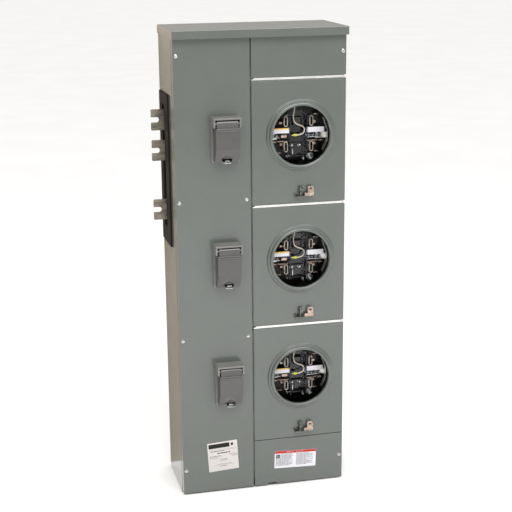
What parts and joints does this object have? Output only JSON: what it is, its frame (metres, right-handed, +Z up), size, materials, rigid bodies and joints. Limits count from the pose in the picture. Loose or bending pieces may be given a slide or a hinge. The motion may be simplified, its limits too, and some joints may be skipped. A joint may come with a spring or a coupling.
{
  "type": "meter socket enclosure",
  "caption": "Tall wall-mounted grey steel enclosure with round ringless meter sockets down one side, hinged-lid breaker ports down the other and bus forks through the side.",
  "frame": {"origin": "centre of the wall bolt pattern on the back plane, at the middle of the body", "axes": "+X right as seen from the front, +Y back into the wall, +Z up along the height"},
  "size_m": [0.5252, 0.2665, 1.3316],
  "materials": {
    "grey_powder_coat": "ANSI grey powder coat, satin, fine orange peel",
    "galvanised_steel": "hot-dip galvanised sheet",
    "zinc_plated_steel": "bright zinc plate",
    "hood_polycarbonate": "moulded grey plastic, fine texture",
    "black_phenolic": "black moulded thermoset",
    "clear_polycarbonate": "clear sheet with bluish edges",
    "tin_plated_copper": "tin-plated copper, dull and slightly browned",
    "bus_copper": "bare copper bar",
    "breaker_black": "black moulded breaker case",
    "handle_black": "black moulded lever",
    "label_white": "printed film label",
    "lead_white": "white wire insulation",
    "bus_insulator": "black moulded sheet"
  },
  "bodies": {
    "enclosure": {"enclosure_shell": "grey_powder_coat", "top_cap": "grey_powder_coat", "bottom_endwall": "grey_powder_coat", "centre_post": "galvanised_steel", "cover_rails": "galvanised_steel", "wiring_cover": "grey_powder_coat", "upper_panel": "grey_powder_coat", "lower_panel": "grey_powder_coat", "cover_screws": "zinc_plated_steel", "rating_label": "label_white", "warning_label": "label_white", "bus_window_insulator": "bus_insulator", "bus_window_plate": "grey_powder_coat", "bus_supports": "black_phenolic", "bus_link_bolts": "zinc_plated_steel", "cross_bus_a": "bus_copper", "cross_bus_b": "bus_copper", "cross_bus_neutral": "bus_copper", "line_risers": "bus_copper", "load_bars": "bus_copper", "meter_supports": "galvanised_steel", "socket_lugs": "tin_plated_copper", "lid_pins": "zinc_plated_steel", "padlock_staples": "zinc_plated_steel", "socket_block_top": "black_phenolic", "meter_jaws_top": "tin_plated_copper", "bypass_shield_top": "clear_polycarbonate", "test_lead_top": "lead_white", "breaker_top": "breaker_black", "lid_hood_top": "hood_polycarbonate", "socket_block_middle": "black_phenolic", "meter_jaws_middle": "tin_plated_copper", "bypass_shield_middle": "clear_polycarbonate", "test_lead_middle": "lead_white", "breaker_middle": "breaker_black", "lid_hood_middle": "hood_polycarbonate", "socket_block_bottom": "black_phenolic", "meter_jaws_bottom": "tin_plated_copper", "bypass_shield_bottom": "clear_polycarbonate", "test_lead_bottom": "lead_white", "breaker_bottom": "breaker_black", "lid_hood_bottom": "hood_polycarbonate"},
    "top_cover": {"meter_cover_top": "grey_powder_coat", "hasp_bracket_top": "zinc_plated_steel"},
    "top_latch": {"hasp_latch_top": "zinc_plated_steel"},
    "top_lid": {"lid_top": "hood_polycarbonate"},
    "top_handle": {"breaker_handle_top": "handle_black"},
    "middle_cover": {"meter_cover_middle": "grey_powder_coat", "hasp_bracket_middle": "zinc_plated_steel"},
    "middle_latch": {"hasp_latch_middle": "zinc_plated_steel"},
    "middle_lid": {"lid_middle": "hood_polycarbonate"},
    "middle_handle": {"breaker_handle_middle": "handle_black"},
    "bottom_cover": {"meter_cover_bottom": "grey_powder_coat", "hasp_bracket_bottom": "zinc_plated_steel"},
    "bottom_latch": {"hasp_latch_bottom": "zinc_plated_steel"},
    "bottom_lid": {"lid_bottom": "hood_polycarbonate"},
    "bottom_handle": {"breaker_handle_bottom": "handle_black"},
    "link_a": {"bus_link_a": "tin_plated_copper"},
    "link_b": {"bus_link_b": "tin_plated_copper"},
    "link_neutral": {"bus_link_neutral": "tin_plated_copper"}
  },
  "joints": [
    {"name": "top_cover_lift_off", "type": "slide", "parent": "enclosure", "child": "top_cover", "axis": [0, -1, 0], "range_m": [0, 0.06]},
    {"name": "top_latch_slide", "type": "slide", "parent": "top_cover", "child": "top_latch", "axis": [-1, 0, 0], "range_m": [0, 0.012]},
    {"name": "top_lid_hinge", "type": "hinge", "parent": "enclosure", "child": "top_lid", "pos_m": [-0.103, -0.2535, 0.4205], "axis": [-1, 0, 0], "range_deg": [0, 90]},
    {"name": "top_handle_throw", "type": "hinge", "parent": "enclosure", "child": "top_handle", "pos_m": [-0.103, -0.2215, 0.3625], "axis": [1, 0, 0], "range_deg": [0, 36]},
    {"name": "middle_cover_lift_off", "type": "slide", "parent": "enclosure", "child": "middle_cover", "axis": [0, -1, 0], "range_m": [0, 0.06]},
    {"name": "middle_latch_slide", "type": "slide", "parent": "middle_cover", "child": "middle_latch", "axis": [-1, 0, 0], "range_m": [0, 0.012]},
    {"name": "middle_lid_hinge", "type": "hinge", "parent": "enclosure", "child": "middle_lid", "pos_m": [-0.103, -0.2535, 0.0695], "axis": [-1, 0, 0], "range_deg": [0, 90]},
    {"name": "middle_handle_throw", "type": "hinge", "parent": "enclosure", "child": "middle_handle", "pos_m": [-0.103, -0.2215, 0.0115], "axis": [1, 0, 0], "range_deg": [0, 36]},
    {"name": "bottom_cover_lift_off", "type": "slide", "parent": "enclosure", "child": "bottom_cover", "axis": [0, -1, 0], "range_m": [0, 0.06]},
    {"name": "bottom_latch_slide", "type": "slide", "parent": "bottom_cover", "child": "bottom_latch", "axis": [-1, 0, 0], "range_m": [0, 0.012]},
    {"name": "bottom_lid_hinge", "type": "hinge", "parent": "enclosure", "child": "bottom_lid", "pos_m": [-0.103, -0.2535, -0.2815], "axis": [-1, 0, 0], "range_deg": [0, 90]},
    {"name": "bottom_handle_throw", "type": "hinge", "parent": "enclosure", "child": "bottom_handle", "pos_m": [-0.103, -0.2215, -0.3395], "axis": [1, 0, 0], "range_deg": [0, 36]},
    {"name": "link_a_slide", "type": "slide", "parent": "enclosure", "child": "link_a", "axis": [1, 0, 0], "range_m": [0, 0.034]},
    {"name": "link_b_slide", "type": "slide", "parent": "enclosure", "child": "link_b", "axis": [1, 0, 0], "range_m": [0, 0.034]},
    {"name": "link_neutral_slide", "type": "slide", "parent": "enclosure", "child": "link_neutral", "axis": [1, 0, 0], "range_m": [0, 0.034]}
  ]
}
